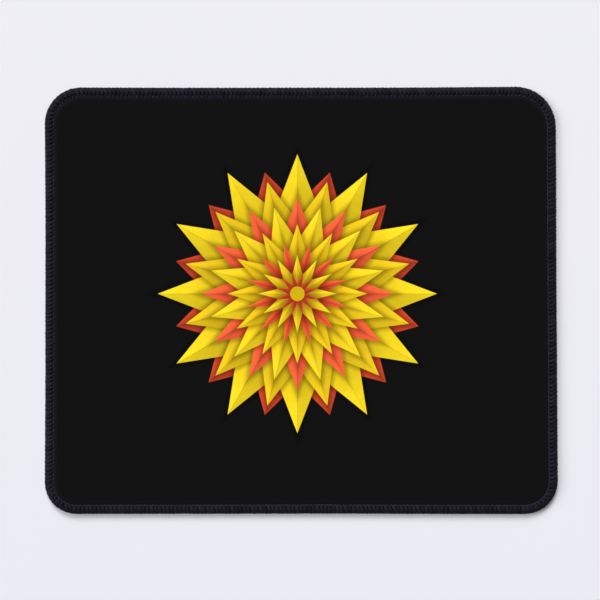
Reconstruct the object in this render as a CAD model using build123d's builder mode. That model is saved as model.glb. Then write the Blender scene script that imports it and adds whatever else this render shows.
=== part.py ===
from build123d import *
from math import atan2, cos, degrees, pi, sin
import os

# A mouse pad: a cloth face on a foam rubber base, with its edge overlocked in three threads.
# Millimetres. The origin is on the underside, at the middle of the pad's outline over the
# stitches. +X runs along the long side to the right, +Y to the rear and +Z up.

# Outline over the stitches. The corners are cut by hand, so each has a radius of its own.
pad_width = 240.0
pad_depth = 200.0
rear_right_radius = 19.0
rear_left_radius = 17.3
front_left_radius = 15.2
front_right_radius = 16.0

# Layers
rubber_thickness = 2.6
cloth_thickness = 0.4

# The rim is the strip that the stitches squeeze. Its side leans in towards the top.
rim_width = 5.0
shoulder_width = 1.0
cloth_dip = 0.2
side_lean = 1.5

# Stitches, with the needle thread's line measured in from the outline
stitch_pitch = 1.88
needle_line = 4.5
needle_thread_width = 0.5
needle_thread_height = 0.25
needle_thread_flank = 25.0
looper_thread_width = 1.35
looper_thread_height = 0.5
looper_slant = 0.9
thread_gap = 0.05
floor_gap = 0.05

# Levels of the rim above the floor
rim_bottom = floor_gap + looper_thread_height
rim_rubber_top = rubber_thickness - cloth_dip
rim_top = rim_rubber_top + cloth_thickness

# The rim's side, set in by the reach of the threads that lie on it
lean_angle = atan2(side_lean, rim_top - rim_bottom)
side_inset = looper_thread_height * cos(lean_angle)
cloth_side_inset = side_inset + side_lean * (rim_rubber_top - rim_bottom) / (rim_top - rim_bottom)

# The looper threads start beside the needle thread
looper_start = needle_line - needle_thread_width / 2 - thread_gap

# The lower looper thread ends under the foot of the side, clear of the upper one
bar_end_inset = side_inset / 2

corner_radii = [rear_right_radius, rear_left_radius, front_left_radius, front_right_radius]


def outline(inset, plane):
    """The pad's outline, set in all round: four sides with four corner arcs between them."""
    half_width = pad_width / 2 - inset
    half_depth = pad_depth / 2 - inset
    corners = [
        (half_width, half_depth),
        (-half_width, half_depth),
        (-half_width, -half_depth),
        (half_width, -half_depth),
    ]
    with BuildSketch(plane) as shape:
        with BuildLine():
            FilletPolyline(*corners, radius=[radius - inset for radius in corner_radii], close=True)
        make_face()
    return shape.sketch


def stitch_places(shift):
    """Places on the outline, one for each stitch, with X pointing out of the pad and Z up.

    Stitches are spread evenly over each corner and each side, at about the stitch pitch. The
    shift moves them along by a share of the spacing.
    """
    half_sizes = [pad_width / 2, pad_depth / 2]
    places = []
    for quarter in range(4):
        turn = Location((0, 0, 0), (0, 0, 90 * quarter))
        reach_x = half_sizes[quarter % 2]
        reach_y = half_sizes[(quarter + 1) % 2]
        radius = corner_radii[quarter]
        next_radius = corner_radii[(quarter + 1) % 4]

        centre = Location((reach_x - radius, reach_y - radius, 0))
        count = round(pi / 2 * (radius - needle_line) / stitch_pitch)
        for step in range(count):
            around = Location((0, 0, 0), (0, 0, 90 * (step + shift) / count))
            places.append(turn * centre * around * Location((radius, 0, 0)))

        length = 2 * reach_x - radius - next_radius
        count = round(length / stitch_pitch)
        for step in range(count):
            along = reach_x - radius - length * (step + shift) / count
            places.append(turn * Location((along, reach_y, 0), (0, 0, 90)))
    return places


def thread_section(plane, height):
    """A looper thread's section on a plane: a ridge on a flat foot, as wide as the thread."""
    with BuildSketch(plane) as section:
        Polygon(
            (-looper_thread_width / 2, 0),
            (looper_thread_width / 2, 0),
            (0, height),
            align=None,
        )
    return section.sketch


# Foam rubber base. The stitches hold its rim clear of the floor and press it down on top.
with BuildPart() as rubber_base:
    extrude(
        outline(side_inset, Plane.XY.offset(rim_bottom)),
        amount=rim_rubber_top - rim_bottom,
        taper=degrees(lean_angle),
    )
    extrude(
        outline(rim_width, Plane.XY.offset(rim_bottom)),
        amount=-rim_bottom,
        taper=degrees(atan2(shoulder_width, rim_bottom)),
    )
    extrude(
        outline(rim_width, Plane.XY.offset(rim_rubber_top)),
        amount=cloth_dip,
        taper=degrees(atan2(shoulder_width, cloth_dip)),
    )

# Cloth face, bonded to the base all over, so it dips with it at the rim
with BuildPart() as cloth_top:
    extrude(
        outline(cloth_side_inset, Plane.XY.offset(rim_rubber_top)),
        amount=cloth_thickness,
        taper=degrees(lean_angle),
    )
    extrude(
        outline(rim_width, Plane.XY.offset(rim_top)),
        amount=cloth_dip,
        taper=degrees(atan2(shoulder_width, cloth_dip)),
    )
    extrude(
        outline(rim_width, Plane.XY.offset(rim_rubber_top)),
        amount=cloth_dip,
        taper=degrees(atan2(shoulder_width, cloth_dip)),
        mode=Mode.SUBTRACT,
    )

# Needle thread: its close line of stitches shows as a low bead on the cloth and another under
# the rim. The short lengths that join the two pass through the foam, which closes on them.
with BuildPart() as needle_thread:
    for level, height in ((rim_top, needle_thread_height), (rim_bottom, -needle_thread_height)):
        plane = Plane.XY.offset(level)
        bead = outline(needle_line - needle_thread_width / 2, plane)
        bead -= outline(needle_line + needle_thread_width / 2, plane)
        extrude(bead, amount=height, taper=needle_thread_flank)

# Upper looper thread: each stitch wraps it from the needle line over the rim's top edge and
# down the side. One wrap is a ridge through three sections: it starts beside the needle thread,
# turns the edge at a mitre, and slants along the seam as it crosses the rim.
half_turn = (pi / 2 - lean_angle) / 2
wrap_start = Plane((-looper_start, -looper_slant, rim_top), x_dir=(0, 1, 0), z_dir=(1, 0, 0))
wrap_mitre = Plane(
    (-side_inset - side_lean, 0, rim_top), x_dir=(0, 1, 0), z_dir=(cos(half_turn), 0, -sin(half_turn))
)
wrap_end = Plane(
    (-side_inset, 0, rim_bottom), x_dir=(0, 1, 0), z_dir=(sin(lean_angle), 0, -cos(lean_angle))
)
with BuildPart() as upper_wrap:
    loft(
        [
            thread_section(wrap_start, looper_thread_height),
            thread_section(wrap_mitre, looper_thread_height / cos(half_turn)),
            thread_section(wrap_end, looper_thread_height),
        ],
        ruled=True,
    )

with BuildPart() as upper_looper_thread:
    with Locations(*stitch_places(shift=0.0)):
        add(upper_wrap.part)

# Lower looper thread: it lies under the rim, from the needle line to the foot of the side,
# half a stitch along from the upper one and slanting the other way.
bar_start = Plane((-looper_start, looper_slant, rim_bottom), x_dir=(0, -1, 0), z_dir=(1, 0, 0))
bar_end = Plane((-bar_end_inset, 0, rim_bottom), x_dir=(0, -1, 0), z_dir=(1, 0, 0))
with BuildPart() as lower_bar:
    loft(
        [thread_section(bar_start, looper_thread_height), thread_section(bar_end, looper_thread_height)],
        ruled=True,
    )

with BuildPart() as lower_looper_thread:
    with Locations(*stitch_places(shift=0.5)):
        add(lower_bar.part)

rubber_base.part.label = "rubber_base"
cloth_top.part.label = "cloth_top"
needle_thread.part.label = "needle_thread"
upper_looper_thread.part.label = "upper_looper_thread"
lower_looper_thread.part.label = "lower_looper_thread"

os.makedirs("parts", exist_ok=True)
export_step(rubber_base.part, "parts/rubber_base.step")
export_step(cloth_top.part, "parts/cloth_top.step")
export_step(needle_thread.part, "parts/needle_thread.step")
export_step(upper_looper_thread.part, "parts/upper_looper_thread.step")
export_step(lower_looper_thread.part, "parts/lower_looper_thread.step")
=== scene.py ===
import bpy
import math
import random
from mathutils import Matrix, Vector


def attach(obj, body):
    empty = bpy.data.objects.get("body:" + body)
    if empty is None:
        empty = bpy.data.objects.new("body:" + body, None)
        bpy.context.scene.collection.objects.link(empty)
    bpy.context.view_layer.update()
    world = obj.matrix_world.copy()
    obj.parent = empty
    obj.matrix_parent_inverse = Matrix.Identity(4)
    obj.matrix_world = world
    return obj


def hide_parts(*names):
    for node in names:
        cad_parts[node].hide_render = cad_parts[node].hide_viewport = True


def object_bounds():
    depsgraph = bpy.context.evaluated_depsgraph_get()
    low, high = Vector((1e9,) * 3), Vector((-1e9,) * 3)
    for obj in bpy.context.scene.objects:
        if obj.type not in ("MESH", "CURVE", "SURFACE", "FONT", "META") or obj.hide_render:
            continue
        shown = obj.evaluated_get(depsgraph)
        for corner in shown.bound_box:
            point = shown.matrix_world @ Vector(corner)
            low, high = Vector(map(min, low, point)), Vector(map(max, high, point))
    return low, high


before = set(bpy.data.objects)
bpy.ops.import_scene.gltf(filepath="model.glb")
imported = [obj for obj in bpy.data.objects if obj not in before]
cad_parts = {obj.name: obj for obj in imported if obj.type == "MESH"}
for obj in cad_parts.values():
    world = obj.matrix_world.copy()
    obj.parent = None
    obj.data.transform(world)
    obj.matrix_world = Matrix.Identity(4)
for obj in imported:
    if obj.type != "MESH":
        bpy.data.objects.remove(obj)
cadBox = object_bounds()
bpy.ops.object.select_all(action="DESELECT")
print("frame loaded, box in mm:", [[round(c * 1000, 2) for c in corner] for corner in cadBox])

millimetre = 0.001
halfSizes = ((cadBox[1].x - cadBox[0].x) / 2, (cadBox[1].y - cadBox[0].y) / 2)

# The outline over the stitches, shared by every piece
padEdge = {
    "cornerRadii": (0.0190, 0.0173, 0.0152, 0.0160),  # rear right first, then anticlockwise
    "stitchPitch": 0.00188,
    "needleLine": 0.0045,  # from the outline in to the row of needle holes
}

# How the real pad's sides stray from a true rectangle, in metres
padDrift = {
    # for each side: moved out at its middle, more at one end than the other, and more at both ends
    "left": (-0.00022, 0.00002, 0.00028),
    "right": (-0.00004, -0.00058, 0.00004),
    "rear": (-0.00010, 0.00022, 0.00022),
    "front": (-0.00002, 0.00000, 0.00010),
    "wander": 0.00006,
    "waves": (3.0, 7.0),
}


# Shared helpers


def seamCounts(quarter):  # stitches on a corner and on the side that follows it
    radius = padEdge["cornerRadii"][quarter]
    nextRadius = padEdge["cornerRadii"][(quarter + 1) % 4]
    arc = math.pi / 2 * (radius - padEdge["needleLine"])
    length = 2 * halfSizes[quarter % 2] - radius - nextRadius
    return radius, length, round(arc / padEdge["stitchPitch"]), round(length / padEdge["stitchPitch"])


def seamStations(shift):  # one matrix per stitch: X points out of the pad, Y along the seam, Z up
    stations = []
    for quarter in range(4):
        radius, length, cornerCount, sideCount = seamCounts(quarter)
        turn = Matrix.Rotation(math.pi / 2 * quarter, 4, "Z")
        reachX = halfSizes[quarter % 2]
        reachY = halfSizes[(quarter + 1) % 2]
        centre = Matrix.Translation((reachX - radius, reachY - radius, 0))
        for step in range(cornerCount):
            around = Matrix.Rotation(math.pi / 2 * (step + shift) / cornerCount, 4, "Z")
            stations.append(turn @ centre @ around @ Matrix.Translation((radius, 0, 0)))
        for step in range(sideCount):
            along = reachX - radius - length * (step + shift) / sideCount
            place = Matrix.Translation((along, reachY, 0))
            stations.append(turn @ place @ Matrix.Rotation(math.pi / 2, 4, "Z"))
    return stations


def seamPlace(x, y):  # how far a point lies in from the outline, and how far along it, in stitches
    best = None
    for quarter in range(4):
        radius, length, cornerCount, sideCount = seamCounts(quarter)
        reachX = halfSizes[quarter % 2]
        reachY = halfSizes[(quarter + 1) % 2]
        turned = Matrix.Rotation(-math.pi / 2 * quarter, 2) @ Vector((x, y))
        outX = turned.x - (reachX - radius)
        outY = turned.y - (reachY - radius)
        if outX >= 0 and outY >= 0:
            share = math.atan2(outY, outX) / (math.pi / 2)
            return radius - math.hypot(outX, outY), share * cornerCount
        inset = reachY - turned.y
        if best is None or inset < best[0]:
            best = (inset, -outX / length * sideCount)
    return best


def sideDrift(side, along):  # how far out a side strays, at a place from -1 to 1 along it
    middle, skew, ends = padDrift[side]
    slow, quick = padDrift["waves"]
    wave = math.sin(slow * along + len(side)) + 0.5 * math.sin(quick * along + 2 * len(side))
    return middle + skew * along + ends * along * along + padDrift["wander"] * wave


def settle(piece):  # lets the outline stray from a true rectangle, as the real pad's does
    for vertex in piece.data.vertices:
        u = vertex.co.x / halfSizes[0]
        v = vertex.co.y / halfSizes[1]
        outX = sideDrift("right", v) * (1 + u) / 2 - sideDrift("left", v) * (1 - u) / 2
        outY = sideDrift("rear", u) * (1 + v) / 2 - sideDrift("front", u) * (1 - v) / 2
        vertex.co.x += outX
        vertex.co.y += outY
    piece.data.update()


def selectOnly(piece):
    bpy.ops.object.select_all(action="DESELECT")
    piece.select_set(True)
    bpy.context.view_layer.objects.active = piece


def joinPieces(pieces, name):
    bpy.ops.object.select_all(action="DESELECT")
    for piece in pieces:
        piece.select_set(True)
    bpy.context.view_layer.objects.active = pieces[0]
    bpy.ops.object.join()
    joined = bpy.context.view_layer.objects.active
    joined.name = name
    joined.data.name = name
    return joined


# Camera, floor and light

viewSetup = {
    "lensMillimetres": 100.0,
    "frameWidth": 0.2812,  # what the 600 pixels of the frame span at the pad, in metres
    "padShift": (0.00037, -0.00028),  # where the pad's middle lies from the frame's middle
    # where each lamp's light goes, its strength and the angle that it spans
    "lamps": (
        ("rearLamp", (0.11, -0.80, -0.58), 2.49, 26.0),
        ("leftLamp", (0.82, -0.14, -0.53), 1.62, 32.0),
        ("overheadLamp", (0.0, 0.0, -1.0), 0.52, 60.0),
    ),
    "worldStrength": 0.12,
    # painted shade: the floor is set a little darker towards the front and lighter towards the rear, in
    # place of light that falls off from rear to front
    "floorFront": (0.826, 0.826, 0.889, 1.0),
    "floorRear": (0.859, 0.860, 0.903, 1.0),
    "backdropColour": (0.84, 0.85, 0.885, 1.0),
    "floorLevel": -0.00002,  # just under the studs, so that the two faces don't meet
    "floorSize": 8.0,
    "floorShadeReach": 0.2,  # from the middle to where each of the two colours is full
    "floorRoughness": 0.9,
    "floorSpecular": 0.1,
}


def buildView():
    cameraData = bpy.data.cameras.new("camera")
    cameraData.lens = viewSetup["lensMillimetres"]
    camera = bpy.data.objects.new("camera", cameraData)
    bpy.context.collection.objects.link(camera)
    away = viewSetup["frameWidth"] * cameraData.lens / cameraData.sensor_width
    camera.location = (-viewSetup["padShift"][0], -viewSetup["padShift"][1], away)
    cameraData.clip_start = 0.01
    cameraData.clip_end = 20
    bpy.context.scene.camera = camera

    for name, direction, strength, angle in viewSetup["lamps"]:
        lampData = bpy.data.lights.new(name, "SUN")
        lampData.energy = strength
        lampData.angle = math.radians(angle)
        lamp = bpy.data.objects.new(name, lampData)
        lamp.rotation_euler = Vector(direction).to_track_quat("-Z", "Y").to_euler()
        bpy.context.collection.objects.link(lamp)

    world = bpy.data.worlds.new("studio")
    bpy.context.scene.world = world
    world.use_nodes = True
    tree = world.node_tree
    tree.nodes.clear()
    lit = tree.nodes.new("ShaderNodeBackground")
    lit.inputs["Strength"].default_value = viewSetup["worldStrength"]
    seen = tree.nodes.new("ShaderNodeBackground")
    seen.inputs["Color"].default_value = viewSetup["backdropColour"]
    path = tree.nodes.new("ShaderNodeLightPath")  # the backdrop is seen directly and in reflections
    mixed = tree.nodes.new("ShaderNodeMixShader")
    output = tree.nodes.new("ShaderNodeOutputWorld")
    shown = calc(tree, "MAXIMUM", path.outputs["Is Camera Ray"], path.outputs["Is Glossy Ray"])
    shown = calc(tree, "MAXIMUM", shown, path.outputs["Is Transmission Ray"])
    tree.links.new(shown, mixed.inputs[0])
    tree.links.new(lit.outputs[0], mixed.inputs[1])
    tree.links.new(seen.outputs[0], mixed.inputs[2])
    tree.links.new(mixed.outputs[0], output.inputs["Surface"])

    bpy.ops.mesh.primitive_plane_add(
        size=viewSetup["floorSize"],
        location=(0, 0, viewSetup["floorLevel"]),
    )
    floor = bpy.context.object
    floor.name = "floor"
    material, tree, shader = newMaterial("floorPaint")
    split = tree.nodes.new("ShaderNodeSeparateXYZ")
    tree.links.new(objectSpace(tree), split.inputs[0])
    # painted shade across the floor, darker at the front and lighter at the rear
    reach = viewSetup["floorShadeReach"]
    rearward = ramp(tree, split.outputs[1], -reach, reach)
    colour = mixColours(tree, rearward, viewSetup["floorFront"], viewSetup["floorRear"])
    tree.links.new(colour, shader.inputs["Base Color"])
    shader.inputs["Roughness"].default_value = viewSetup["floorRoughness"]
    shader.inputs["Specular IOR Level"].default_value = viewSetup["floorSpecular"]
    floor.data.materials.append(material)
    bpy.context.scene.view_settings.view_transform = "Standard"


# Node helpers


def newMaterial(name):
    material = bpy.data.materials.new(name)
    material.use_nodes = True
    tree = material.node_tree
    tree.nodes.clear()
    shader = tree.nodes.new("ShaderNodeBsdfPrincipled")
    output = tree.nodes.new("ShaderNodeOutputMaterial")
    tree.links.new(shader.outputs[0], output.inputs["Surface"])
    return material, tree, shader


def feed(tree, socket, value):  # a number or a colour is set, and an output is linked
    if isinstance(value, bpy.types.NodeSocket):
        tree.links.new(value, socket)
    else:
        socket.default_value = value


def calc(tree, operation, *values, clamp=False):
    node = tree.nodes.new("ShaderNodeMath")
    node.operation = operation
    node.use_clamp = clamp
    for socket, value in zip(node.inputs, values):
        feed(tree, socket, value)
    return node.outputs[0]


def mixColours(tree, share, first, second, blend="MIX"):
    node = tree.nodes.new("ShaderNodeMix")
    node.data_type = "RGBA"
    node.blend_type = blend
    feed(tree, node.inputs["Factor"], share)
    feed(tree, node.inputs["A"], first)
    feed(tree, node.inputs["B"], second)
    return node.outputs["Result"]


def ramp(tree, value, low, high):  # 0 below low, 1 above high, smooth between
    node = tree.nodes.new("ShaderNodeMapRange")
    node.interpolation_type = "SMOOTHSTEP"
    feed(tree, node.inputs["Value"], value)
    node.inputs["From Min"].default_value = low
    node.inputs["From Max"].default_value = high
    return node.outputs["Result"]


def noise(tree, vector, scale, detail=2.0, roughness=0.5):
    node = tree.nodes.new("ShaderNodeTexNoise")
    node.inputs["Scale"].default_value = scale
    node.inputs["Detail"].default_value = detail
    node.inputs["Roughness"].default_value = roughness
    tree.links.new(vector, node.inputs["Vector"])
    return node.outputs["Fac"]


def bump(tree, shader, height, distance, strength=1.0):
    node = tree.nodes.new("ShaderNodeBump")
    node.inputs["Distance"].default_value = distance
    node.inputs["Strength"].default_value = strength
    tree.links.new(height, node.inputs["Height"])
    tree.links.new(node.outputs["Normal"], shader.inputs["Normal"])


def objectSpace(tree):
    node = tree.nodes.new("ShaderNodeTexCoord")
    return node.outputs["Object"]


def attributeOf(tree, name):
    node = tree.nodes.new("ShaderNodeAttribute")
    node.attribute_name = name
    return node.outputs["Fac"]


# Plates: the base and the cloth are each two dished faces, joined at their outline

seamDetail = {
    "pointsPerStitch": 4,  # points of the outline to one stitch
    "mergeDistance": 0.000002,
}


def selectWhere(piece, kind, test):  # picks vertices or edges by their place, from edit mode
    bpy.ops.mesh.select_mode(type="VERT")
    bpy.ops.mesh.select_all(action="DESELECT")
    bpy.ops.mesh.select_mode(type=kind)
    bpy.ops.object.mode_set(mode="OBJECT")
    mesh = piece.data
    if kind == "VERT":
        for vertex in mesh.vertices:
            vertex.select = test(vertex.co)
    if kind == "EDGE":
        for edge in mesh.edges:
            edge.select = test(sum((mesh.vertices[i].co for i in edge.vertices), Vector()) / 2)
    bpy.ops.object.mode_set(mode="EDIT")


def roundedFace(name, inset, level, facesUp):  # a flat face with the pad's outline, set in all round
    bpy.ops.mesh.primitive_plane_add(size=1, location=(0, 0, 0))
    face = bpy.context.object
    face.name = name
    reach = [size - inset for size in halfSizes]
    bpy.ops.object.mode_set(mode="EDIT")
    bpy.ops.transform.resize(value=(2 * reach[0], 2 * reach[1], 1), center_override=(0, 0, 0))
    bpy.ops.transform.translate(value=(0, 0, level))
    for quarter in range(4):
        radius, length, cornerCount, sideCount = seamCounts(quarter)
        corner = Matrix.Rotation(math.pi / 2 * quarter, 3, "Z") @ Vector((1, 1, 0))
        corner = Vector((round(corner.x) * reach[0], round(corner.y) * reach[1], level))
        selectWhere(face, "VERT", lambda spot: (spot - corner).length < millimetre)
        bpy.ops.mesh.bevel(
            affect="VERTICES",
            offset=radius - inset,
            segments=cornerCount * seamDetail["pointsPerStitch"],
        )
    for quarter in range(4):
        radius, length, cornerCount, sideCount = seamCounts(quarter)
        nextRadius = padEdge["cornerRadii"][(quarter + 1) % 4]
        turn = Matrix.Rotation(math.pi / 2 * quarter, 3, "Z")
        middle = turn @ Vector(((nextRadius - radius) / 2, reach[(quarter + 1) % 2], 0))
        middle.z = level
        selectWhere(face, "EDGE", lambda spot: (spot - middle).length < millimetre)
        bpy.ops.mesh.subdivide(number_cuts=sideCount * seamDetail["pointsPerStitch"] - 1)
    if not facesUp:
        bpy.ops.mesh.select_all(action="SELECT")
        bpy.ops.mesh.flip_normals()
    bpy.ops.object.mode_set(mode="OBJECT")
    return face


def dishFace(name, rings, facesUp):  # rings are (in from the outline, height), in millimetres
    rings = [(inset * millimetre, level * millimetre) for inset, level in rings]
    face = roundedFace(name, rings[0][0], rings[0][1], facesUp)
    bpy.ops.object.mode_set(mode="EDIT")
    bpy.ops.mesh.select_mode(type="FACE")
    bpy.ops.mesh.select_all(action="SELECT")
    for (lastInset, lastLevel), (inset, level) in zip(rings, rings[1:]):
        rise = level - lastLevel if facesUp else lastLevel - level
        bpy.ops.mesh.inset(thickness=inset - lastInset, depth=rise)
    bpy.ops.object.mode_set(mode="OBJECT")
    return face


def mergeDoubles(piece):
    selectOnly(piece)
    bpy.ops.object.mode_set(mode="EDIT")
    bpy.ops.mesh.select_all(action="SELECT")
    bpy.ops.mesh.remove_doubles(threshold=seamDetail["mergeDistance"])
    bpy.ops.object.mode_set(mode="OBJECT")


def dishedPlate(name, topRings, underRings):
    plate = joinPieces([dishFace(name, topRings, True), dishFace(name, underRings, False)], name)
    mergeDoubles(plate)
    return plate


# Rubber base

rubberBase = {
    "topRings": (
        (0.46, 0.55), (0.60, 1.00), (0.90, 1.50), (1.35, 1.92), (2.0, 2.20), (2.8, 2.35), (4.5, 2.29),
        (5.1, 2.41), (6.0, 2.6),
    ),
    "underRings": ((0.46, 0.55), (4.6, 0.55), (5.0, 0.48), (5.3, 0.3), (5.6, 0.17), (6.0, 0.13)),
    "studSpacing": 0.0032,
    "studRadius": 0.00095,
    "studTipRadius": 0.0007,
    "studHeight": 0.00013,
    "studRoot": 0.00005,  # how far each stud runs up into the base
    "studMargin": 0.0075,  # from the outline in to the outermost studs
    "colour": (0.021, 0.021, 0.023, 1.0),
    "colourWorn": (0.032, 0.032, 0.034, 1.0),
    "roughness": 0.82,
    "specular": 0.15,
    "blotchScale": 240,
    "poreScale": 4200,
    "poreReach": 0.6,
    "grainScale": 2600,
    "bumpDepth": 0.00003,
    "bumpStrength": 0.6,
    "smoothAngle": 35.0,
}


def addStuds(base):  # a non-slip pattern of small raised diamonds pressed into the underside
    spacing = rubberBase["studSpacing"]
    root = rubberBase["studRoot"]
    height = rubberBase["studHeight"]
    columns = int(2 * (halfSizes[0] - rubberBase["studMargin"]) / spacing) + 1
    rows = int(2 * (halfSizes[1] - rubberBase["studMargin"]) / spacing) + 1
    bpy.ops.mesh.primitive_cone_add(
        vertices=4,
        radius1=rubberBase["studTipRadius"],
        radius2=rubberBase["studRadius"],
        depth=height + root,
        location=(-(columns - 0.5) * spacing / 2, -(rows - 0.5) * spacing / 2, (height + root) / 2),
    )
    studs = bpy.context.object
    bpy.ops.object.transform_apply(location=True)
    studSize = len(studs.data.vertices)
    steps = ((2, (spacing / 2, spacing / 2, 0)), (columns, (spacing, 0, 0)), (rows, (0, spacing, 0)))
    for count, step in steps:
        repeat = studs.modifiers.new("repeat", "ARRAY")
        repeat.count = count
        repeat.use_relative_offset = False
        repeat.use_constant_offset = True
        repeat.constant_offset_displace = step
        bpy.ops.object.modifier_apply(modifier="repeat")
    vertices = studs.data.vertices
    outside = []
    for first in range(0, len(vertices), studSize):
        middle = sum((vertices[i].co for i in range(first, first + studSize)), Vector()) / studSize
        inset, along = seamPlace(middle.x, middle.y)
        outside += [inset < rubberBase["studMargin"]] * studSize
    bpy.ops.object.mode_set(mode="EDIT")
    bpy.ops.mesh.select_mode(type="VERT")
    bpy.ops.mesh.select_all(action="DESELECT")
    bpy.ops.object.mode_set(mode="OBJECT")
    vertices.foreach_set("select", outside)
    bpy.ops.object.mode_set(mode="EDIT")
    bpy.ops.mesh.delete(type="VERT")
    bpy.ops.object.mode_set(mode="OBJECT")
    return joinPieces([base, studs], base.name)


def foamRubber():
    material, tree, shader = newMaterial("foamRubber")
    place = objectSpace(tree)
    blotches = noise(tree, place, rubberBase["blotchScale"], 4)
    colour = mixColours(tree, blotches, rubberBase["colour"], rubberBase["colourWorn"])
    tree.links.new(colour, shader.inputs["Base Color"])
    shader.inputs["Roughness"].default_value = rubberBase["roughness"]
    shader.inputs["Specular IOR Level"].default_value = rubberBase["specular"]
    cells = tree.nodes.new("ShaderNodeTexVoronoi")
    cells.inputs["Scale"].default_value = rubberBase["poreScale"]
    tree.links.new(place, cells.inputs["Vector"])
    pores = ramp(tree, cells.outputs["Distance"], 0.0, rubberBase["poreReach"])
    grain = noise(tree, place, rubberBase["grainScale"], 3)
    height = calc(tree, "ADD", pores, grain)
    bump(tree, shader, height, rubberBase["bumpDepth"], rubberBase["bumpStrength"])
    return material


def buildRubberBase():
    base = dishedPlate("rubberBase", rubberBase["topRings"], rubberBase["underRings"])
    base = addStuds(base)
    settle(base)
    selectOnly(base)
    bpy.ops.object.shade_smooth_by_angle(angle=math.radians(rubberBase["smoothAngle"]))
    base.data.materials.clear()
    base.data.materials.append(foamRubber())
    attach(base, "root")
    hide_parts("rubber_base")
    return base


# Cloth face with its print

clothFace = {
    "topRings": (
        (1.65, 2.12), (1.82, 2.34), (2.2, 2.52), (2.7, 2.66), (3.2, 2.70), (3.8, 2.65), (4.2, 2.60),
        (4.5, 2.58), (4.8, 2.64), (5.1, 2.76), (5.4, 2.88), (5.7, 2.96), (6.1, 3.0), (7.2, 3.0),
    ),
    "underRings": (
        (1.65, 2.12), (2.2, 2.26), (2.8, 2.36), (4.5, 2.30), (5.1, 2.42), (6.0, 2.6), (7.2, 2.6),
    ),
    "flatSize": (0.2367, 0.1967),  # as cut, inside the stitches
    "holeDepth": 0.00016,
    "holeReach": 0.00055,
    "holeInset": 0.0046,  # from the outline in to the middle of the holes
    "holeLevel": 0.0025,  # above this the cloth's upper face lies, and below it the under one
    "holePhase": -0.49,  # where the needle holes lie along the seam, in stitches
    "black": (0.0052, 0.0052, 0.0052, 1.0),
    "seamBlack": (0.0084, 0.0074, 0.0110, 1.0),  # the bent strip beside the stitches
    "seamStrip": (0.0055, 0.0063),
    "roughness": 0.88,
    "specular": 0.03,
    "yarnPitch": 0.00042,
    "fuzzScale": 5200,
    "bumpDepth": 0.00003,
    "bumpStrength": 0.8,
    "smoothAngle": 40.0,
}

starPrint = {
    "centre": (-0.0016, 0.0032),
    "radius": 0.0651,
    "points": 12,
    "lightAngle": 128.0,
    "edgeSoftness": 0.00012,
    "shadowReach": 0.0030,
    "shadowDepth": 0.50,
    "shadowColour": (0.05, 0.03, 0.004, 1.0),
    "facetShare": 0.20,  # how far the two halves of a point differ
    "creaseReach": 0.0005,
    "creaseTone": 0.94,  # at the middle of a crease, and the gain beside it
    "creaseGain": 0.16,
    "mottleScale": 140,
    "mottleShare": 0.30,
    "fibreScale": 900,
    "fibreShare": 0.16,
    # tip and notch as shares of the radius, whether the tips lie between the points, base and tip colour
    "layers": (
        (0.90, 0.64, True, (0.40, 0.040, 0.014), (0.60, 0.062, 0.024)),
        (1.00, 0.61, False, (0.60, 0.40, 0.008), (0.93, 0.70, 0.018)),
        (0.83, 0.52, True, (0.54, 0.34, 0.008), (0.84, 0.58, 0.014)),
        (0.69, 0.42, False, (0.70, 0.070, 0.024), (0.92, 0.130, 0.046)),
        (0.64, 0.38, True, (0.74, 0.48, 0.008), (0.94, 0.70, 0.020)),
        (0.50, 0.28, False, (0.70, 0.41, 0.008), (0.90, 0.62, 0.014)),
        (0.37, 0.18, True, (0.70, 0.064, 0.020), (0.92, 0.120, 0.042)),
        (0.28, 0.14, False, (0.74, 0.47, 0.008), (0.94, 0.70, 0.022)),
        (0.16, 0.07, True, (0.40, 0.036, 0.014), (0.60, 0.056, 0.024)),
    ),
    "buttonRadius": 0.055,
    "buttonColour": (0.70, 0.48, 0.006, 1.0),
}


def starLayer(tree, polar, tip, notch, between):  # distance in from the edge of one ring of points
    radius, angle = polar
    half = math.pi / starPrint["points"]
    turned = calc(tree, "ADD", angle, half if between else 0.0)
    folded = calc(tree, "WRAP", turned, half, -half)
    across = calc(tree, "MULTIPLY", radius, calc(tree, "ABSOLUTE", calc(tree, "SINE", folded)))
    outward = calc(tree, "MULTIPLY", radius, calc(tree, "COSINE", folded))
    tip *= starPrint["radius"]
    notch *= starPrint["radius"]
    fall = notch * math.sin(half)
    run = tip - notch * math.cos(half)
    size = math.hypot(fall, run)
    down = calc(tree, "MULTIPLY", calc(tree, "SUBTRACT", tip, outward), fall / size)
    inside = calc(tree, "SUBTRACT", down, calc(tree, "MULTIPLY", across, run / size))
    return inside, outward, folded


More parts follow.
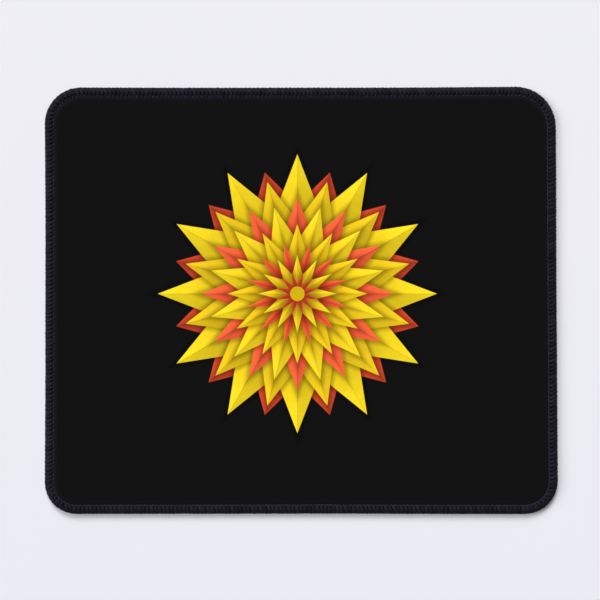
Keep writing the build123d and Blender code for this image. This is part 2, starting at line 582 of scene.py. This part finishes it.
def starColours(tree, place):  # the print: rings of points, laid one on another
    softness = starPrint["edgeSoftness"]
    shift = tree.nodes.new("ShaderNodeMapping")
    shift.inputs["Location"].default_value = (-starPrint["centre"][0], -starPrint["centre"][1], 0)
    tree.links.new(place, shift.inputs["Vector"])
    split = tree.nodes.new("ShaderNodeSeparateXYZ")
    tree.links.new(shift.outputs[0], split.inputs[0])
    x, y = split.outputs[0], split.outputs[1]
    square = calc(tree, "ADD", calc(tree, "MULTIPLY", x, x), calc(tree, "MULTIPLY", y, y))
    radius = calc(tree, "SQRT", square)
    angle = calc(tree, "ARCTAN2", y, x)
    lit = calc(tree, "SINE", calc(tree, "SUBTRACT", math.radians(starPrint["lightAngle"]), angle))
    fibres = noise(tree, place, starPrint["fibreScale"], 4, 0.6)
    fibres = calc(tree, "MULTIPLY", calc(tree, "SUBTRACT", fibres, 0.5), starPrint["fibreShare"])
    mottle = noise(tree, place, starPrint["mottleScale"], 3, 0.55)
    mottle = calc(tree, "MULTIPLY", calc(tree, "SUBTRACT", mottle, 0.5), starPrint["mottleShare"])
    colour = clothFace["black"]
    for number, (tip, notch, between, baseColour, tipColour) in enumerate(starPrint["layers"]):
        inside, outward, folded = starLayer(tree, (radius, angle), tip, notch, between)
        cover = ramp(tree, inside, -softness, softness)
        if number:
            shade = ramp(tree, inside, -starPrint["shadowReach"], 0.0)
            shade = calc(tree, "MULTIPLY", shade, starPrint["shadowDepth"])
            colour = mixColours(tree, shade, colour, starPrint["shadowColour"], "MULTIPLY")
        rise = ramp(tree, outward, notch * starPrint["radius"] * 0.6, tip * starPrint["radius"])
        ink = mixColours(tree, rise, (*baseColour, 1.0), (*tipColour, 1.0))
        side = calc(tree, "SIGN", folded)
        facet = calc(tree, "MULTIPLY", calc(tree, "MULTIPLY", side, lit), starPrint["facetShare"])
        aside = calc(tree, "ABSOLUTE", calc(tree, "MULTIPLY", radius, folded))
        crease = ramp(tree, aside, 0.0, starPrint["creaseReach"])
        tone = calc(tree, "MULTIPLY", crease, starPrint["creaseGain"])
        for part in (starPrint["creaseTone"], facet, mottle, fibres):
            tone = calc(tree, "ADD", tone, part)
        tones = tree.nodes.new("ShaderNodeCombineColor")
        for socket in tones.inputs:
            tree.links.new(tone, socket)
        ink = mixColours(tree, 1.0, ink, tones.outputs[0], "MULTIPLY")
        colour = mixColours(tree, cover, colour, ink)
    button = ramp(tree, radius, starPrint["buttonRadius"] * starPrint["radius"] + softness, 0.0)
    button = calc(tree, "GREATER_THAN", button, 0.02)
    colour = mixColours(tree, button, colour, starPrint["buttonColour"])
    return colour


def printedCloth():
    material, tree, shader = newMaterial("printedCloth")
    place = objectSpace(tree)
    colour = starColours(tree, place)
    strip = attributeOf(tree, "seamStrip")
    colour = mixColours(tree, strip, colour, clothFace["seamBlack"])
    tree.links.new(colour, shader.inputs["Base Color"])
    shader.inputs["Roughness"].default_value = clothFace["roughness"]
    shader.inputs["Specular IOR Level"].default_value = clothFace["specular"]
    split = tree.nodes.new("ShaderNodeSeparateXYZ")
    tree.links.new(place, split.inputs[0])
    turns = 2 * math.pi / clothFace["yarnPitch"]
    rows = calc(tree, "SINE", calc(tree, "MULTIPLY", split.outputs[0], turns))
    courses = calc(tree, "SINE", calc(tree, "MULTIPLY", split.outputs[1], turns))
    yarns = calc(tree, "MULTIPLY", rows, courses)
    fuzz = noise(tree, place, clothFace["fuzzScale"], 2)
    height = calc(tree, "ADD", yarns, fuzz)
    bump(tree, shader, height, clothFace["bumpDepth"], clothFace["bumpStrength"])
    return material


def pressHoles(cloth):  # each needle hole draws the cloth down a little, and the strip gets its own tint
    strip = cloth.data.attributes.new("seamStrip", "FLOAT", "POINT")
    low, high = clothFace["seamStrip"]
    for vertex in cloth.data.vertices:
        inset, along = seamPlace(vertex.co.x, vertex.co.y)
        strip.data[vertex.index].value = min(max((high - inset) / (high - low), 0.0), 1.0)
        if vertex.co.z < clothFace["holeLevel"]:
            continue
        away = (along - clothFace["holePhase"] + 0.5) % 1.0 - 0.5
        distance = math.hypot(away * padEdge["stitchPitch"], inset - clothFace["holeInset"])
        vertex.co.z -= clothFace["holeDepth"] * math.exp(-((distance / clothFace["holeReach"]) ** 2))


def buildCloth():
    cloth = dishedPlate("clothFace", clothFace["topRings"], clothFace["underRings"])
    pressHoles(cloth)
    settle(cloth)
    selectOnly(cloth)
    bpy.ops.object.shade_smooth_by_angle(angle=math.radians(clothFace["smoothAngle"]))
    cloth.data.materials.clear()
    cloth.data.materials.append(printedCloth())
    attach(cloth, "root")
    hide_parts("cloth_top")
    return cloth


# Threads: one stitch is a bent strand, copied round the seam

threadWork = {
    "sides": 6,
    "strayOut": 0.00003,
    "strayAlong": 0.00003,
    "strayUp": 0.00002,
    "strayTurn": 0.012,
    "colour": (0.0056, 0.0048, 0.0076, 1.0),
    "colourPale": (0.0244, 0.0215, 0.0318, 1.0),
    "roughness": 0.55,
    "specular": 0.015,
    "tintShare": 0.5,
    "fluffShare": 0.6,
    "fluffScale": 1500,
    "fluffHeight": 0.8,
    "pliesAround": 3,
    "strandLength": 8.0,  # roughly, and the pitch of the twist, both in millimetres
    "twistPitch": 0.9,
    "plyHeight": 0.55,
    "filamentsAround": 26,
    "filamentsAlong": 4.0,
    "filamentTwist": 1.4,
    "filamentStray": 9.0,  # how far the fibres of one strand differ from the next one's
    "filamentHeight": 1.4,
    "bumpDepth": 0.00009,
    "bumpStrength": 0.9,
}

# Paths are (in from the outline, along the seam, up), half sizes (across, up), all in millimetres
upperLooper = {
    "slantedLeg": (
        (4.60, -0.94, 2.24), (4.28, -0.92, 2.50), (3.88, -0.85, 2.74), (3.44, -0.73, 2.94),
        (2.96, -0.57, 3.06), (2.46, -0.40, 3.08), (1.96, -0.24, 2.90), (1.47, -0.09, 2.58),
        (1.02, 0.00, 2.16), (0.65, 0.03, 1.67), (0.41, 0.04, 1.17), (0.28, 0.03, 0.76),
        (0.50, 0.00, 0.42),
    ),
    "slantedHalf": (0.74, 0.23),
    "returnLeg": (
        (4.60, 0.92, 2.22), (4.26, 0.94, 2.46), (3.84, 0.95, 2.68), (3.38, 0.95, 2.85),
        (2.90, 0.95, 2.93), (2.40, 0.95, 2.94), (1.90, 0.94, 2.76), (1.42, 0.94, 2.45),
        (0.99, 0.94, 2.05), (0.63, 0.94, 1.56), (0.40, 0.94, 1.01), (0.50, 0.94, 0.45),
    ),
    "returnHalf": (0.68, 0.22),
    "seed": 11,
}

lowerLooper = {
    "slantedLeg": (
        (0.42, 0.00, 0.86), (0.26, 0.00, 0.52), (0.62, 0.03, 0.33), (1.40, 0.14, 0.29),
        (2.40, 0.38, 0.29), (3.30, 0.64, 0.29), (4.05, 0.84, 0.32), (4.62, 0.92, 0.62),
    ),
    "slantedHalf": (0.56, 0.23),
    "returnLeg": (
        (0.42, -0.94, 0.84), (0.28, -0.94, 0.54), (0.66, -0.94, 0.38), (1.50, -0.94, 0.35),
        (2.60, -0.94, 0.35), (3.60, -0.95, 0.37), (4.30, -0.95, 0.44), (4.62, -0.92, 0.64),
    ),
    "returnHalf": (0.42, 0.19),
    "seed": 12,
}

needleStitch = {
    "topDash": (
        (4.57, -0.88, 1.90), (4.49, -0.72, 2.20), (4.39, -0.40, 2.48), (4.35, 0.00, 2.59),
        (4.39, 0.40, 2.48), (4.49, 0.72, 2.20), (4.57, 0.88, 1.90),
    ),
    "underDash": (
        (4.56, -0.92, 0.66), (4.54, -0.80, 0.48), (4.50, -0.40, 0.42), (4.50, 0.00, 0.41),
        (4.50, 0.40, 0.42), (4.54, 0.80, 0.48), (4.56, 0.92, 0.66),
    ),
    "half": (0.44, 0.22),
    "seed": 13,
    # painted highlight: the needle thread is set about three times paler than the looper thread, so that
    # the row of beads along the seam shows bright where the light catches it
    "colour": (0.0270, 0.0239, 0.0350, 1.0),
    "colourPale": (0.0630, 0.0562, 0.0804, 1.0),
    "roughness": 0.5,
    "specular": 0.02,
}


def bendStrand(name, path, half):  # path and half sizes are in millimetres
    halfWidth, halfHeight = half
    widen = halfWidth / halfHeight
    bpy.ops.curve.primitive_nurbs_path_add(radius=1, location=(0, 0, 0))
    curve = bpy.context.object.data
    curve.splines.clear()
    spline = curve.splines.new("NURBS")
    spline.points.add(len(path) - 1)
    for point, (inward, along, up) in zip(spline.points, path):
        point.co = (-inward * millimetre, along * millimetre / widen, up * millimetre, 1)
    spline.order_u = 3
    spline.use_endpoint_u = True
    spline.resolution_u = 1
    curve.dimensions = "3D"
    curve.bevel_depth = halfHeight * millimetre
    curve.bevel_resolution = (threadWork["sides"] - 4) // 2
    curve.use_fill_caps = True
    selectOnly(bpy.context.object)
    bpy.ops.object.convert(target="MESH")
    strand = bpy.context.object
    strand.name = name
    bpy.ops.object.mode_set(mode="EDIT")
    bpy.ops.mesh.select_all(action="SELECT")
    bpy.ops.transform.resize(value=(1, widen, 1), center_override=(0, 0, 0))
    bpy.ops.mesh.remove_doubles(threshold=seamDetail["mergeDistance"])
    bpy.ops.mesh.normals_make_consistent(inside=False)
    bpy.ops.object.mode_set(mode="OBJECT")
    bpy.ops.object.shade_smooth()
    return strand


def copyRound(strands, name, shift, seed):  # one copy of each strand per stitch, each a little different
    draw = random.Random(seed)
    copies = []
    for place in seamStations(shift):
        for strand in strands:
            stray = Matrix.Translation((
                draw.gauss(0, threadWork["strayOut"]),
                draw.gauss(0, threadWork["strayAlong"]),
                draw.gauss(0, threadWork["strayUp"]),
            ))
            lean = Matrix.Rotation(draw.gauss(0, threadWork["strayTurn"]), 4, "Z")
            data = strand.data.copy()
            tint = data.attributes.new("tint", "FLOAT", "POINT")
            tint.data.foreach_set("value", [draw.random()] * len(data.vertices))
            data.transform(place @ stray @ lean)
            copy = bpy.data.objects.new(name, data)
            bpy.context.collection.objects.link(copy)
            copies.append(copy)
    for strand in strands:
        bpy.data.objects.remove(strand)
    return joinPieces(copies, name)


def spunThread(name, work):
    material, tree, shader = newMaterial(name)
    place = objectSpace(tree)
    tint = attributeOf(tree, "tint")
    fluff = noise(tree, place, threadWork["fluffScale"], 3, 0.6)
    tinted = calc(tree, "MULTIPLY", tint, threadWork["tintShare"])
    fluffy = calc(tree, "MULTIPLY", fluff, threadWork["fluffShare"])
    share = calc(tree, "ADD", tinted, fluffy, clamp=True)
    colour = mixColours(tree, share, work["colour"], work["colourPale"])
    tree.links.new(colour, shader.inputs["Base Color"])
    shader.inputs["Roughness"].default_value = work["roughness"]
    shader.inputs["Specular IOR Level"].default_value = work["specular"]
    lay = tree.nodes.new("ShaderNodeUVMap")
    lay.uv_map = "UVMap"
    split = tree.nodes.new("ShaderNodeSeparateXYZ")
    tree.links.new(lay.outputs[0], split.inputs[0])
    along, around = split.outputs[0], split.outputs[1]
    twists = threadWork["strandLength"] / threadWork["twistPitch"]
    turned = calc(tree, "MULTIPLY", around, 2 * math.pi * threadWork["pliesAround"])
    onward = calc(tree, "MULTIPLY", along, 2 * math.pi * twists)
    plies = calc(tree, "SINE", calc(tree, "ADD", turned, onward))
    twisted = calc(tree, "ADD", around, calc(tree, "MULTIPLY", along, threadWork["filamentTwist"]))
    stretched = tree.nodes.new("ShaderNodeCombineXYZ")
    spread = (
        (along, threadWork["filamentsAlong"]),
        (twisted, threadWork["filamentsAround"]),
        (tint, threadWork["filamentStray"]),
    )
    for socket, (value, factor) in zip(stretched.inputs, spread):
        tree.links.new(calc(tree, "MULTIPLY", value, factor), socket)
    filaments = noise(tree, stretched.outputs[0], 1.0, 2, 0.6)
    height = calc(tree, "MULTIPLY", plies, threadWork["plyHeight"])
    for value, factor in ((filaments, threadWork["filamentHeight"]), (fluff, threadWork["fluffHeight"])):
        height = calc(tree, "ADD", height, calc(tree, "MULTIPLY", value, factor))
    bump(tree, shader, height, threadWork["bumpDepth"], threadWork["bumpStrength"])
    return material


def finishThread(piece, node, material):
    settle(piece)
    piece.data.materials.clear()
    piece.data.materials.append(material)
    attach(piece, "root")
    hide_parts(node)


def buildThreads():
    material = spunThread("looperThread", threadWork)
    upper = [
        bendStrand("upperLooperThread", upperLooper["slantedLeg"], upperLooper["slantedHalf"]),
        bendStrand("upperLooperReturn", upperLooper["returnLeg"], upperLooper["returnHalf"]),
    ]
    upper = copyRound(upper, "upperLooperThread", 0.0, upperLooper["seed"])
    finishThread(upper, "upper_looper_thread", material)
    print("upper looper thread:", len(upper.data.polygons), "faces")

    lower = [
        bendStrand("lowerLooperThread", lowerLooper["slantedLeg"], lowerLooper["slantedHalf"]),
        bendStrand("lowerLooperReturn", lowerLooper["returnLeg"], lowerLooper["returnHalf"]),
    ]
    lower = copyRound(lower, "lowerLooperThread", 0.5, lowerLooper["seed"])
    finishThread(lower, "lower_looper_thread", material)
    print("lower looper thread:", len(lower.data.polygons), "faces")

    dashes = [
        bendStrand("needleThread", needleStitch["topDash"], needleStitch["half"]),
        bendStrand("needleThreadUnder", needleStitch["underDash"], needleStitch["half"]),
    ]
    dashes = copyRound(dashes, "needleThread", 0.0, needleStitch["seed"])
    # the needle thread's paler colours are a painted highlight on the bead row
    finishThread(dashes, "needle_thread", spunThread("needleThread", needleStitch))
    print("needle thread:", len(dashes.data.polygons), "faces")


buildView()
print("camera, floor and light ready")
base = buildRubberBase()
print("rubber base:", len(base.data.polygons), "faces")
cloth = buildCloth()
print("cloth face:", len(cloth.data.polygons), "faces")
buildThreads()
